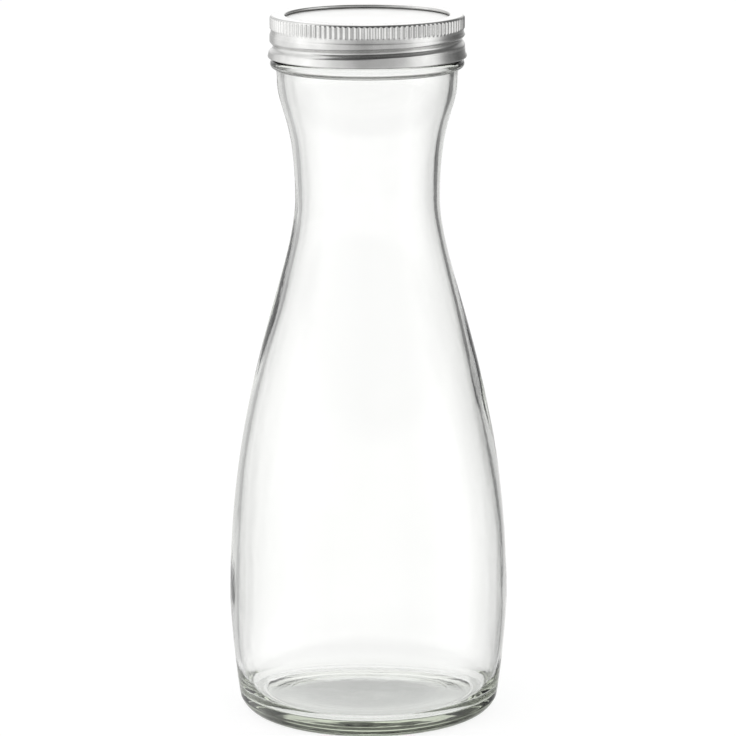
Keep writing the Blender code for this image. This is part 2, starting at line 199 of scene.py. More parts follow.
class BottleSettings(bpy.types.PropertyGroup):
    height: FloatProperty(name="Height", description="Foot to rim", default=GLASS_HIGH.z, unit="LENGTH")
    belly_diameter: FloatProperty(
        name="Belly", description="Widest diameter", default=2 * GLASS_HIGH.x, unit="LENGTH"
    )
    belly_height: FloatProperty(
        name="Belly height", description="Height of the widest place", default=0.0437, unit="LENGTH"
    )
    waist_diameter: FloatProperty(
        name="Waist", description="Narrowest diameter of the neck", default=0.0536, unit="LENGTH"
    )
    waist_drop: FloatProperty(
        name="Waist drop", description="Rim down to the waist", default=0.0645, unit="LENGTH"
    )
    neck_diameter: FloatProperty(
        name="Neck", description="Diameter just under the bead", default=0.0666, unit="LENGTH"
    )
    neck_height: FloatProperty(
        name="Neck height", description="Top of the neck, under the bead", default=0.23915, unit="LENGTH"
    )
    finish_diameter: FloatProperty(
        name="Finish", description="Wall under the thread", default=0.0670, unit="LENGTH"
    )
    finish_wall: FloatProperty(
        name="Finish wall", description="Glass at the rim", default=0.0032, unit="LENGTH"
    )
    rim_rounding: FloatProperty(
        name="Rim rounding", description="Radius of the rim's edges", default=0.0011, unit="LENGTH"
    )
    bead_overhang: FloatProperty(
        name="Bead overhang", description="How far the bead stands out", default=0.0022, unit="LENGTH"
    )
    bead_thickness: FloatProperty(
        name="Bead thickness", description="Height of the bead", default=0.0037, unit="LENGTH"
    )
    bead_height: FloatProperty(
        name="Bead height", description="Height of the bead's middle", default=0.2445, unit="LENGTH"
    )
    neck_wall: FloatProperty(
        name="Neck wall", description="Glass in the neck", default=0.0030, unit="LENGTH"
    )
    waist_wall: FloatProperty(
        name="Waist wall", description="Glass at the waist", default=0.0025, unit="LENGTH"
    )
    belly_wall: FloatProperty(
        name="Belly wall", description="Glass at the belly", default=0.0030, unit="LENGTH"
    )
    floor_wall: FloatProperty(
        name="Floor wall", description="Glass of the floor's middle", default=0.0053, unit="LENGTH"
    )
    floor_dishing: FloatProperty(
        name="Floor dishing", description="Rise of the floor to its middle", default=0.0006, unit="LENGTH"
    )
    push_up: FloatProperty(
        name="Push-up", description="Hollow under the foot", default=0.0018, unit="LENGTH"
    )
    foot_diameter: FloatProperty(
        name="Foot ring", description="Ring that the carafe stands on", default=0.0822, unit="LENGTH"
    )
    foot_width: FloatProperty(
        name="Foot ring width", description="Width of the ring's flat", default=0.0015, unit="LENGTH"
    )
    heel_radius: FloatProperty(
        name="Heel radius", description="Rounding above the foot ring", default=0.0079, unit="LENGTH"
    )
    heel_lean: FloatProperty(
        name="Heel lean", description="Lean of the wall at the heel", default=radians(20), unit="ROTATION"
    )
    mark_radius: FloatProperty(
        name="Ring mark", description="Radius of the ring under the floor", default=0.0300, unit="LENGTH"
    )
    mark_height: FloatProperty(
        name="Ring mark height", description="Height of the mould's ring", default=0.00006, unit="LENGTH"
    )
    thread_depth: FloatProperty(
        name="Thread depth", description="Height of the glass thread", default=0.00125, unit="LENGTH"
    )
    thread_width: FloatProperty(
        name="Thread width", description="Width of the glass thread", default=0.0030, unit="LENGTH"
    )
    thread_drop: FloatProperty(
        name="Thread drop", description="Rim down to the thread's top end", default=0.0041, unit="LENGTH"
    )
    thread_turns: FloatProperty(name="Thread turns", description="Turns of the thread", default=1.08)
    wall_swell: FloatProperty(
        name="Wall swell", description="How uneven the blown wall is", default=0.0006, unit="LENGTH"
    )
    seam_height: FloatProperty(
        name="Mould seam", description="Height of the seam lines", default=0.00003, unit="LENGTH"
    )
    segments: IntProperty(name="Segments", description="Facets round the bottle", default=192)
    tint: FloatVectorProperty(
        name="Tint", description="Colour the thick glass takes", default=(0.60, 0.70, 0.44), subtype="COLOR"
    )
    tint_density: FloatProperty(
        name="Tint density", description="Strength of the tint in a metre of glass", default=8.5
    )
    bend_of_light: FloatProperty(name="Index", description="Refractive index", default=1.52)


class BandSettings(bpy.types.PropertyGroup):
    sheet: FloatProperty(name="Sheet", description="Thickness of the metal", default=0.00035, unit="LENGTH")
    opening_diameter: FloatProperty(
        name="Opening", description="Opening over the disc", default=0.0604, unit="LENGTH"
    )
    hem_radius: FloatProperty(
        name="Hem radius", description="Rolled edge of the opening", default=0.00058, unit="LENGTH"
    )
    curl_radius: FloatProperty(
        name="Curl radius", description="Rolled lower edge", default=0.00055, unit="LENGTH"
    )
    flare_lean: FloatProperty(
        name="Flare", description="Lean of the skirt above its curl", default=radians(14), unit="ROTATION"
    )
    shoulder_bend: FloatProperty(
        name="Shoulder bend", description="Rounding of the top edge", default=0.00045, unit="LENGTH"
    )
    knurl_wall: FloatProperty(
        name="Knurled wall", description="Inner radius behind the knurls", default=0.0350, unit="LENGTH"
    )
    knurl_drop: FloatProperty(
        name="Knurl drop", description="Top edge down to the knurls", default=0.0006, unit="LENGTH"
    )
    knurl_length: FloatProperty(
        name="Knurl length", description="Height of a knurl", default=0.0046, unit="LENGTH"
    )
    knurl_depth: FloatProperty(
        name="Knurl depth", description="How far a knurl stands out", default=0.0004, unit="LENGTH"
    )
    knurls: IntProperty(name="Knurls", description="Knurls round the band", default=112)
    necking_wall: FloatProperty(
        name="Necking", description="Inner radius of the necking", default=0.0351, unit="LENGTH"
    )
    necking_length: FloatProperty(
        name="Necking length", description="Height of each of its sides", default=0.0011, unit="LENGTH"
    )
    skirt_wall: FloatProperty(
        name="Skirt", description="Inner radius of the skirt", default=0.0355, unit="LENGTH"
    )
    groove_depth: FloatProperty(
        name="Groove depth", description="Depth of the rolled thread", default=0.0012, unit="LENGTH"
    )
    groove_width: FloatProperty(
        name="Groove width", description="Width of the rolled thread", default=0.0040, unit="LENGTH"
    )
    groove_turns: FloatProperty(name="Groove turns", description="Turns of the rolled thread", default=1.14)
    colour: FloatVectorProperty(
        name="Metal", description="Colour of the satin metal", default=(0.67, 0.67, 0.66), subtype="COLOR"
    )
    roughness: FloatProperty(name="Roughness", description="Satin of the metal", default=0.24)


class LidSettings(bpy.types.PropertyGroup):
    sheet: FloatProperty(name="Sheet", description="Thickness of the plate", default=0.00035, unit="LENGTH")
    edge_bend: FloatProperty(
        name="Edge bend", description="Inner radius of the turned edge", default=0.0003, unit="LENGTH"
    )
    panel_recess: FloatProperty(
        name="Panel recess", description="Depth of the middle panel", default=0.00012, unit="LENGTH"
    )
    panel_radius: FloatProperty(
        name="Panel radius", description="Radius of the middle panel", default=0.0308, unit="LENGTH"
    )
    panel_slope: FloatProperty(
        name="Panel slope", description="Width of the step round the panel", default=0.0007, unit="LENGTH"
    )
    seal_chamfer: FloatProperty(
        name="Seal edge", description="Rounding of the seal's edges", default=0.0003, unit="LENGTH"
    )
    segments: IntProperty(name="Segments", description="Facets round the disc", default=192)
    plate_colour: FloatVectorProperty(
        name="Plate", description="Colour of the disc", default=(0.86, 0.86, 0.85), subtype="COLOR"
    )
    plate_roughness: FloatProperty(name="Roughness", description="Satin of the disc", default=0.38)
    seal_colour: FloatVectorProperty(
        name="Seal", description="Colour of the compound", default=(0.62, 0.60, 0.56), subtype="COLOR"
    )


class StudioSettings(bpy.types.PropertyGroup):
    camera_distance: FloatProperty(
        name="Distance", description="Camera to the carafe's axis", default=1.45, unit="LENGTH"
    )
    camera_height: FloatProperty(
        name="Height", description="Camera above the table", default=0.4325, unit="LENGTH"
    )
    camera_dip: FloatProperty(
        name="Dip", description="How far the camera looks down", default=radians(11.78), unit="ROTATION"
    )
    camera_roll: FloatProperty(
        name="Roll", description="Lean of the picture", default=radians(-0.13), unit="ROTATION"
    )
    lens: FloatProperty(name="Lens", description="Focal length on a 36 mm sensor, in mm", default=194.36)
    floor_size: FloatProperty(name="Floor", description="Width of the table", default=16.0, unit="LENGTH")
    floor_colour: FloatVectorProperty(
        name="Floor colour", description="Pale table", default=(0.93, 0.93, 0.93), subtype="COLOR"
    )
    sky_light: FloatProperty(name="Surround", description="Level of the soft light all round", default=0.8)
    turns_in_glass: IntProperty(
        name="Turns in glass", description="How often light may turn back inside thick glass", default=12
    )
    key_power: FloatProperty(name="Key", description="Power of the soft key lamp, in watts", default=6.0)
    key_size: FloatProperty(name="Key size", description="Diameter of the lamp", default=1.2, unit="LENGTH")
    key_place: FloatVectorProperty(
        name="Key place", description="Where the lamp is", default=(-0.9, -0.7, 1.5), unit="LENGTH"
    )
    key_aim: FloatProperty(
        name="Key aim", description="Height on the axis that the lamp faces", default=0.12, unit="LENGTH"
    )


class Value:
    """A number that varies over a surface, held as a socket. Sums on it add Math nodes."""

    def __init__(self, finish, socket):
        self.finish = finish
        self.socket = socket

    def math(self, operation, *others):
        inputs = dict(enumerate((self, *others)))
        return self.finish.node("ShaderNodeMath", {"operation": operation}, inputs).out()

    def __add__(self, other):
        return self.math("ADD", other)

    __radd__ = __add__

    def __mul__(self, other):
        return self.math("MULTIPLY", other)

    __rmul__ = __mul__

    def __sub__(self, other):
        return self.math("SUBTRACT", other)

    def __rsub__(self, other):
        return (self * -1) + other

    def __truediv__(self, other):
        return self.math("DIVIDE", other)

    def __rtruediv__(self, other):
        return self.math("POWER", -1) * other

    def __pow__(self, other):
        return self.math("POWER", other)

    def within(self, limits, to_low=0.0, to_high=1.0):
        """This value carried smoothly from the range between two limits to another range."""
        settings = {"interpolation_type": "SMOOTHSTEP"}
        inputs = {"Value": self, "From Min": limits[0], "From Max": limits[1]}
        inputs.update({"To Min": to_low, "To Max": to_high})
        return self.finish.node("ShaderNodeMapRange", settings, inputs).out()


class Placed:
    """A node that is already in a tree, with its outputs at hand."""

    def __init__(self, finish, node):
        self.finish = finish
        self.node = node

    def out(self, name=0):
        return Value(self.finish, self.node.outputs[name])


class Finish:
    """A node tree being built, for a material or the world."""

    def __init__(self, tree):
        self.tree = tree
        tree.nodes.clear()

    def node(self, kind, settings=None, inputs=None):
        """Adds a node: its settings first, then the values or links of its sockets."""
        node = self.tree.nodes.new(kind)
        for name, setting in (settings or {}).items():
            if name == "stops":
                self.set_stops(node.color_ramp, setting)
            else:
                setattr(node, name, setting)
        for name, given in (inputs or {}).items():
            socket = node.inputs[name]
            if isinstance(given, Value):
                self.tree.links.new(given.socket, socket)
            else:
                socket.default_value = given
        return Placed(self, node)

    def set_stops(self, ramp, stops):
        while len(ramp.elements) > 1:
            ramp.elements.remove(ramp.elements[-1])
        for i, (position, level) in enumerate(stops):
            element = ramp.elements[0] if i == 0 else ramp.elements.new(position)
            element.position = position
            element.color = (level, level, level, 1)

    def by_stops(self, stops, factor):
        """The brightness that a list of stops gives for a factor from 0 to 1."""
        return self.node("ShaderNodeValToRGB", {"stops": stops}, {"Fac": factor}).out("Color")

    def point(self, kind="Object"):
        """The point on the piece, in metres. Generated in the world is a direction instead."""
        return self.node("ShaderNodeTexCoord").out(kind)

    def parts(self, point):
        """X, Y and Z of a point, as three values."""
        split = self.node("ShaderNodeSeparateXYZ", inputs={0: point})
        return split.out("X"), split.out("Y"), split.out("Z")

    def noise(self, vector, scale, detail):
        """Even noise with so many cells for each metre."""
        inputs = {"Vector": vector, "Scale": scale, "Detail": detail}
        return self.node("ShaderNodeTexNoise", {"noise_dimensions": "3D"}, inputs).out("Fac")

    def grain(self, vector, scales, detail):
        """Noise with its own number of cells along each axis, so that it runs one way."""
        stretched = self.node("ShaderNodeVectorMath", {"operation": "MULTIPLY"}, {0: vector, 1: scales})
        return self.noise(stretched.out(), 1.0, detail)

    def patchy(self, factor, colour, dull_share):
        """A colour that is duller where the factor is low."""
        dull = [dull_share * part for part in colour]
        inputs = {"Factor": factor, 6: (*dull, 1.0), 7: (*colour, 1.0)}
        return self.node("ShaderNodeMix", {"data_type": "RGBA"}, inputs).out(2)

    def bump(self, height, strength, distance):
        inputs = {"Height": height, "Strength": strength, "Distance": distance}
        return self.node("ShaderNodeBump", inputs=inputs).out()

    def mixed(self, share, first, second):
        """One shader where the share is 0 and another where it is 1."""
        return self.node("ShaderNodeMixShader", inputs={0: share, 1: first.out(), 2: second.out()})

    def finish_with(self, surface, volume=None):
        inputs = {"Surface": surface.out()}
        if volume is not None:
            inputs["Volume"] = volume.out()
        self.node("ShaderNodeOutputMaterial", inputs=inputs)


def new_finish(name):
    material = bpy.data.materials.new(name)
    material.use_nodes = True
    return material, Finish(material.node_tree)


def clear_glass(settings):
    """Clear glass, tinted where it is thick, with soft draw lines and a pale shadow."""
    material, finish = new_finish("clear_carafe_glass")
    point = finish.point()
    draw_lines = finish.grain(point, GLASS_DRAW_LINES, detail=2.0)
    dimples = finish.noise(point, GLASS_DIMPLES, detail=2.0)
    shader = finish.node(
        "ShaderNodeBsdfPrincipled",
        inputs={
            "Base Color": (1, 1, 1, 1),
            "Roughness": 0.0,
            "IOR": settings.bend_of_light,
            "Transmission Weight": 1.0,
            "Normal": finish.bump(draw_lines + dimples * 0.07, strength=0.25, distance=GLASS_RELIEF),
        },
    )
    through = finish.node("ShaderNodeBsdfTransparent", inputs={"Color": GLASS_SHADOW})
    shadow = finish.node("ShaderNodeLightPath").out("Is Shadow Ray")
    volume = finish.node(
        "ShaderNodeVolumeAbsorption", inputs={"Color": (*settings.tint, 1), "Density": settings.tint_density}
    )
    finish.finish_with(finish.mixed(shadow, shader, through), volume)
    return material


def satin_band_metal(settings):
    """Satin tin-plated sheet: fine grain round the band, and brighter where it is rubbed."""
    material, finish = new_finish("satin_band_metal")
    point = finish.point()
    grain = finish.grain(point, BAND_GRAIN, detail=4.0)
    patches = finish.noise(point, BAND_PATCHES, detail=3.0)
    specks = finish.noise(point, BAND_SPECKS, detail=2.0)
    shader = finish.node(
        "ShaderNodeBsdfPrincipled",
        inputs={
            "Base Color": finish.patchy(patches.within((0.35, 0.7)), settings.colour, BAND_DULL_SHARE),
            "Metallic": 1.0,
            "Roughness": patches * 0.08 + grain * 0.10 + (settings.roughness - 0.09),
            "Normal": finish.bump(grain * 0.6 + specks * 0.4, strength=0.10, distance=BAND_RELIEF),
        },
    )
    finish.finish_with(shader)
    return material


def bright_plate(settings):
    """Bright plated disc: a fine even satin with faint rubbed rings."""
    material, finish = new_finish("bright_disc_plate")
    point = finish.point()
    x, y = finish.parts(point)[:2]
    rings = ((x * x + y * y) ** 0.5 * DISC_RINGS).math("SINE")
    cloud = finish.noise(point, DISC_CLOUD, detail=3.0)
    grain = finish.grain(point, DISC_GRAIN, detail=3.0)
    shader = finish.node(
        "ShaderNodeBsdfPrincipled",
        inputs={
            "Base Color": finish.patchy(cloud.within((0.3, 0.7)), settings.plate_colour, DISC_DULL_SHARE),
            "Metallic": 0.6,
            "Roughness": cloud * 0.06 + grain * 0.05 + (settings.plate_roughness - 0.05),
            "Normal": finish.bump(grain * 0.7 + rings * 0.15, strength=0.06, distance=DISC_RELIEF),
        },
    )
    finish.finish_with(shader)
    return material


def seal_compound(settings):
    """Matt sealing compound with a slightly grainy, pressed surface."""
    material, finish = new_finish("seal_compound")
    point = finish.point()
    cloud = finish.noise(point, SEAL_CLOUD, detail=4.0)
    grain = finish.noise(point, SEAL_GRAIN, detail=2.0)
    shader = finish.node(
        "ShaderNodeBsdfPrincipled",
        inputs={
            "Base Color": finish.patchy(cloud, settings.seal_colour, SEAL_DULL_SHARE),
            "Roughness": cloud * 0.2 + 0.45,
            "Normal": finish.bump(grain, strength=0.2, distance=SEAL_RELIEF),
        },
    )
    finish.finish_with(shader)
    return material


def arc(centre, radius, start, end, steps):
    """Points of a round stretch, from the start angle to the end angle in degrees."""
    points = []
    for i in range(steps + 1):
        angle = radians(start + (end - start) * i / steps)
        points.append((centre[0] + radius * cos(angle), centre[1] + radius * sin(angle)))
    return points


def bend(start, start_pull, end_pull, end, steps):
    """Points of a smooth curve that leaves start towards start_pull and meets end from end_pull."""
    corners = (start, start_pull, end_pull, end)
    points = []
    for i in range(steps + 1):
        t = i / steps
        weights = ((1 - t) ** 3, 3 * t * (1 - t) ** 2, 3 * t * t * (1 - t), t**3)
        points.append(tuple(sum(w * c[k] for w, c in zip(weights, corners)) for k in (0, 1)))
    return points


def upright_bend(top, bottom, shares, steps):
    """A curve down between two levels that is upright at both."""
    height = top[1] - bottom[1]
    top_pull = (top[0], top[1] - shares[0] * height)
    bottom_pull = (bottom[0], bottom[1] + shares[1] * height)
    return bend(top, top_pull, bottom_pull, bottom, steps)


def straight(start, end, steps):
    """Points of a straight stretch."""
    return [
        tuple(start[k] + (end[k] - start[k]) * i / steps for k in (0, 1)) for i in range(steps + 1)
    ]


def joined(*stretches):
    """One outline from stretches, without doubled points where they meet."""
    outline = []
    for stretch in stretches:
        for point in stretch:
            if outline and hypot(point[0] - outline[-1][0], point[1] - outline[-1][1]) < MERGE_DISTANCE:
                continue
            outline.append(point)
    return outline


def polyline(corners, steps):
    """Points of straight stretches from corner to corner, each in its own number of steps."""
    stretches = zip(corners, corners[1:], steps)
    return joined(*(straight(start, end, count) for start, end, count in stretches))


def even_turn(count):
    """Angles of a whole turn in equal steps."""
    return 2 * pi * np.arange(count) / count


def rising(values, start, length):
    """0 up to the start, then an even rise to 1 over the length."""
    return np.clip((values - start) / length, 0, 1)


def falling(values, end, length):
    """An even fall from 1 over the length, and 0 from its end on."""
    return np.clip((end - values) / length, 0, 1)


def spun(name, outline, angles, closed, shift=None):
    """A closed mesh spun about Z from an outline.

    shift says how far outwards a point moves, by its angle, radius and height.
    """
    radii, heights = np.array(outline, dtype=float).T
    grid_radii = np.repeat(radii[:, None], len(angles), axis=1)
    grid_heights = np.repeat(heights[:, None], len(angles), axis=1)
    if shift is not None:
        grid_radii = grid_radii + shift(angles[None, :], grid_radii, grid_heights)
    places = np.stack([grid_radii * np.cos(angles), grid_radii * np.sin(angles), grid_heights], axis=-1)
    rows, columns = len(outline), len(angles)
    index = np.arange(rows * columns).reshape(rows, columns)
    if closed:
        index = np.vstack([index, index[:1]])
    after = np.roll(index, -1, axis=1)
    quads = np.stack([index[:-1], index[1:], after[1:], after[:-1]], axis=-1).reshape(-1, 4)
    mesh = bpy.data.meshes.new(name)
    mesh.from_pydata(places.reshape(-1, 3).tolist(), [], quads.tolist())
    obj = bpy.data.objects.new(name, mesh)
    bpy.context.scene.collection.objects.link(obj)
    return obj


def close_ends(obj):
    """Draws each end ring on the axis to one point, and turns the faces outwards."""
    solid = bmesh.new()
    solid.from_mesh(obj.data)
    bmesh.ops.remove_doubles(solid, verts=solid.verts, dist=MERGE_DISTANCE / 10)
    bmesh.ops.recalc_face_normals(solid, faces=solid.faces)
    solid.to_mesh(obj.data)
    solid.free()


def dress(obj, material, body, node):
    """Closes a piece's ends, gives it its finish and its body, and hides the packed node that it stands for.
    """
    close_ends(obj)
    obj.data.materials.append(material)
    obj.data.shade_smooth()
    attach(obj, body)
    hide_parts(node)


def ring_mark(off):
    """How much of the ring mark there is so far off its middle, from 0 to 1."""
    return cos(pi / 2 * min(1, abs(off) / MARK_HALF_WIDTH)) ** 2


def bead_outline(settings):
    """The bead under the lid, from its top to its underside."""
    points = []
    for i in range(BEAD_STEPS + 1):
        angle = radians(90 - 180 * i / BEAD_STEPS)
        squareness = BEAD_SQUARENESS if angle > 0 else 1
        reach = settings.bead_overhang * cos(angle) ** squareness
        height = settings.bead_height + settings.bead_thickness / 2 * sin(angle)
        points.append((settings.finish_diameter / 2 + reach, height))
    return points


def push_up_outline(settings):
    """The hollow under the foot, from the foot ring to the axis, with the mould's ring mark."""
    hollow = settings.foot_diameter / 2 - settings.foot_width
    points = bend(
        (hollow, 0),
        (hollow * (1 - PUSH_UP_SHARES[0]), settings.push_up),
        (hollow * PUSH_UP_SHARES[1], settings.push_up),
        (0, settings.push_up),
        steps=84,
    )
    return [
        (radius, height - settings.mark_height * ring_mark(radius - settings.mark_radius))
        for radius, height in points
    ]


def bottle_outside(settings):
    """From the rim's crown down the outside to the middle of the push-up."""
    neck = (settings.neck_diameter / 2, settings.neck_height)
    waist = (settings.waist_diameter / 2, settings.height - settings.waist_drop)
    belly = (settings.belly_diameter / 2, settings.belly_height)
    finish_radius = settings.finish_diameter / 2
    lean = settings.heel_lean
    heel = (settings.foot_diameter / 2, settings.heel_radius)
    heel_top = (heel[0] + heel[1] * cos(lean), heel[1] * (1 - sin(lean)))
    rim = (finish_radius - settings.rim_rounding, settings.height - settings.rim_rounding)
    bead = bead_outline(settings)
    under_bead = bend(
        bead[-1],
        (bead[-1][0], bead[-1][1] - UNDER_BEAD_PULL),
        (neck[0], neck[1] + ABOVE_NECK_PULL),
        neck,
        steps=6,
    )
    foot_height = belly[1] - heel_top[1]
    foot_pull = FOOT_SHARES[1] * foot_height
    foot = bend(
        belly,
        (belly[0], belly[1] - FOOT_SHARES[0] * foot_height),
        (heel_top[0] + foot_pull * sin(lean), heel_top[1] + foot_pull * cos(lean)),
        heel_top,
        steps=24,
    )
    return joined(
        arc(rim, settings.rim_rounding, 90, 0, steps=6),
        straight((finish_radius, rim[1]), bead[0], steps=44),
        bead,
        under_bead,
        upright_bend(neck, waist, NECK_SHARES, steps=36),
        upright_bend(waist, belly, BODY_SHARES, steps=76),
        foot,
        arc(heel, settings.heel_radius, -degrees(lean), -90, steps=16),
        push_up_outline(settings),
    )


def bottle_inside(settings):
    """From the middle of the floor up the inside to the rim's crown."""
    neck = (settings.neck_diameter / 2 - settings.neck_wall, settings.neck_height)
    waist = (settings.waist_diameter / 2 - settings.waist_wall, settings.height - settings.waist_drop)
    belly = (settings.belly_diameter / 2 - settings.belly_wall, settings.belly_height)
    middle = (0, settings.push_up + settings.floor_wall)
    edge = (FLOOR_EDGE_SHARE * belly[0], middle[1] - settings.floor_dishing)
    rise = belly[1] - edge[1]
    spread = belly[0] - edge[0]
    corner = bend(
        belly,
        (belly[0], belly[1] - INNER_FOOT_SHARES[0] * rise),
        (edge[0] + INNER_FOOT_SHARES[1] * spread, edge[1]),
        edge,
        steps=34,
    )
    floor = bend(
        edge,
        (edge[0] * (1 - FLOOR_SHARES[0]), edge[1]),
        (edge[0] * FLOOR_SHARES[1], middle[1]),
        middle,
        steps=16,
    )
    bore = settings.finish_diameter / 2 - settings.finish_wall
    rim = (bore + settings.rim_rounding, settings.height - settings.rim_rounding)
    downwards = joined(
        arc(rim, settings.rim_rounding, 90, 180, steps=6),
        straight((bore, rim[1]), neck, steps=12),
        upright_bend(neck, waist, NECK_SHARES, steps=26),
        upright_bend(waist, belly, BODY_SHARES, steps=50),
        corner,
        floor,
    )
    return downwards[::-1]


def helix_height(top, angle):
    """Height along a right-hand helix that is at its top at the thread's top angle."""
    return top + THREAD_PITCH * (angle - THREAD_TOP_ANGLE) / (2 * pi)


def ridge(angles, heights, top, start, turns, width, run_out):
    """How much of a helical ridge or groove there is at each place, from 0 to 1."""
    end = start + 2 * pi * turns
    most = np.zeros(np.broadcast(angles, heights).shape)
    for turn in range(-2, 4):
        along = angles % (2 * pi) + 2 * pi * turn
        off = np.abs(heights - helix_height(top, along))
        run_in = np.clip(np.minimum(along - start, end - along) / run_out, 0, 1)
        shape = np.where(off < width / 2, np.cos(pi * off / width) ** 2, 0)
        most = np.maximum(most, shape * np.sin(pi / 2 * run_in))
    return most


def wall_unevenness(settings, angles, heights):
    """How far the blown wall's inner face moves outwards at each place."""
    swell_end = settings.height - settings.waist_drop + SWELL_PAST_WAIST
    window = rising(heights, SWELL_START, SWELL_RISE) * falling(heights, swell_end, SWELL_FALL)
    over_belly = np.sin(pi * rising(heights, BELLY_SWELL_START, BELLY_SWELL_SPAN))
    swell = BELLY_SWELL_SHARE * np.cos(angles - pi) * over_belly
    for share, waves, turn_per_metre, offset in SWELL_WAVES:
        swell = swell + share * np.cos(waves * angles + turn_per_metre * heights + offset)
    return -settings.wall_swell * window * swell


def seam_line(angles, seam):
    """How much of a mould seam there is at each angle, from 0 to 1."""
    off = np.abs((angles - seam + pi) % (2 * pi) - pi)
    return np.clip(1 - off / SEAM_HALF_WIDTH, 0, 1)


def bottle_angles(settings):
    """Even steps round the bottle, with closer ones at the mould seams."""
    angles = list(even_turn(settings.segments))
    for seam in SEAM_ANGLES:
        angles += [seam + radians(step) for step in SEAM_STEPS]
    return np.array(sorted(angle % (2 * pi) for angle in angles))


class CARAFE_OT_bottle(bpy.types.Operator):
    """Blow the glass bottle with its thread, bead, uneven wall and faint mould seams"""

    bl_idname = "carafe.bottle"
    bl_label = "Glass bottle"

    def execute(self, context):
        settings = context.scene.carafe_bottle
        inside = bottle_inside(settings)
        outline = joined(inside, bottle_outside(settings))
        turns, width = settings.thread_turns, settings.thread_width
        thread_top = settings.height - settings.thread_drop
        thread_start = THREAD_TOP_ANGLE - 2 * pi * turns
        bead_top = settings.bead_height + settings.bead_thickness / 2

        def shift(angles, radii, heights):
            inner = np.arange(len(radii))[:, None] < len(inside)
            in_finish = ~inner & (heights > bead_top - EDGE_PLAY)
            on_wall = ~inner & ~in_finish & (heights > settings.heel_radius)
            thread = ridge(angles, heights, thread_top, thread_start, turns, width, THREAD_RUN_OUT)
            moved = np.where(inner, wall_unevenness(settings, angles, heights), 0)
            moved = moved + np.where(in_finish, settings.thread_depth * thread, 0)
            for seam in SEAM_ANGLES:
                moved = moved + np.where(on_wall, settings.seam_height * seam_line(angles, seam), 0)
            return moved

        bottle = spun("carafe_glass", outline, bottle_angles(settings), closed=False, shift=shift)
        dress(bottle, clear_glass(settings), "bottle", "glass_bottle")
        return {"FINISHED"}


def band_levels(settings):
    """Heights of the knurls' top and bottom, the middle of the necking, and the skirt's top and bottom."""
    knurl_top = BAND_HIGH.z - settings.knurl_drop
    knurl_bottom = knurl_top - settings.knurl_length
    necking = knurl_bottom - settings.necking_length
    skirt_top = necking - settings.necking_length
    skirt_bottom = BAND_LOW.z + CURL_HEIGHT_SHARE * settings.curl_radius
    return knurl_top, knurl_bottom, necking, skirt_top, skirt_bottom


def band_outline(settings):
    """The band's sheet: down its outer face, round the curled edge, up its inner face, round the hem."""
    sheet = settings.sheet
    top, bottom = BAND_HIGH.z, BAND_LOW.z
    knurl_bottom, necking, skirt_top, skirt_bottom = band_levels(settings)[1:]
    bend_radius = settings.shoulder_bend
    shoulder = (settings.knurl_wall - bend_radius, top - sheet - bend_radius)
    inner_wall = [
        (settings.knurl_wall, shoulder[1]),
        (settings.knurl_wall, knurl_bottom),
        (settings.necking_wall, necking),
        (settings.skirt_wall, skirt_top),
        (settings.skirt_wall, skirt_bottom),
    ]
    outer_wall = [(radius + sheet, height) for radius, height in inner_wall]
    curl_reach = CURL_REACH_SHARE * settings.curl_radius
    curl = (outer_wall[3][0] + curl_reach, bottom + settings.curl_radius)
    curl_end = -degrees(acos(-(curl_reach + sheet) / settings.curl_radius))
    lean = settings.flare_lean
    flare_end = (curl[0] + settings.curl_radius * cos(lean), curl[1] + settings.curl_radius * sin(lean))
    flare_top = (outer_wall[3][0], flare_end[1] + (flare_end[0] - outer_wall[3][0]) / tan(lean))
    hem = (settings.opening_diameter / 2 + settings.hem_radius, top - settings.hem_radius)
    hem_start = degrees(asin((settings.hem_radius - sheet) / settings.hem_radius))
    return joined(
        straight((hem[0], top), (shoulder[0], top), steps=2),
        arc(shoulder, bend_radius + sheet, 90, 0, steps=7),
        polyline([*outer_wall[:4], flare_top, flare_end], steps=(16, 2, 2, 18, 10)),
        arc(curl, settings.curl_radius, degrees(lean), curl_end, steps=10),
        polyline(inner_wall[::-1], steps=(16, 1, 1, 2)),
        arc(shoulder, bend_radius, 0, 90, steps=4),
        arc(hem, settings.hem_radius, hem_start, -270, steps=12),
    )


class CARAFE_OT_band(bpy.types.Operator):
    """Press the screw band from sheet, with its knurls, necking, rolled thread, hem and curl"""

    bl_idname = "carafe.band"
    bl_label = "Screw band"

    def execute(self, context):
        settings = context.scene.carafe_band
        knurl_top, knurl_bottom = band_levels(settings)[:2]
        skirt_top, skirt_bottom = band_levels(settings)[-2:]
        turns, width = settings.groove_turns, settings.groove_width
        thread_top = GLASS_HIGH.z - context.scene.carafe_bottle.thread_drop
        groove_top = thread_top - THREAD_TO_GROOVE - width / 4

        def shift(angles, radii, heights):
            in_knurls = falling(heights, knurl_top, KNURL_FADE) * rising(heights, knurl_bottom, KNURL_FADE)
            wave = (0.5 + 0.5 * np.cos(settings.knurls * angles)) ** KNURL_SHARPNESS
            on_wall = radii > settings.knurl_wall - settings.shoulder_bend / 2
            knurl = settings.knurl_depth * wave * np.sin(pi / 2 * in_knurls) * on_wall
            in_skirt = (heights < skirt_top) & (heights > skirt_bottom)
            in_skirt = in_skirt & (radii > settings.skirt_wall - EDGE_PLAY)
            groove = ridge(angles, heights, groove_top, GROOVE_START, turns, width, GROOVE_RUN_OUT)
            return knurl - settings.groove_depth * groove * in_skirt

        angles = even_turn(settings.knurls * STEPS_PER_KNURL)
        band = spun("knurled_band", band_outline(settings), angles, closed=True, shift=shift)
        dress(band, satin_band_metal(settings), "band", "screw_band")
        return {"FINISHED"}


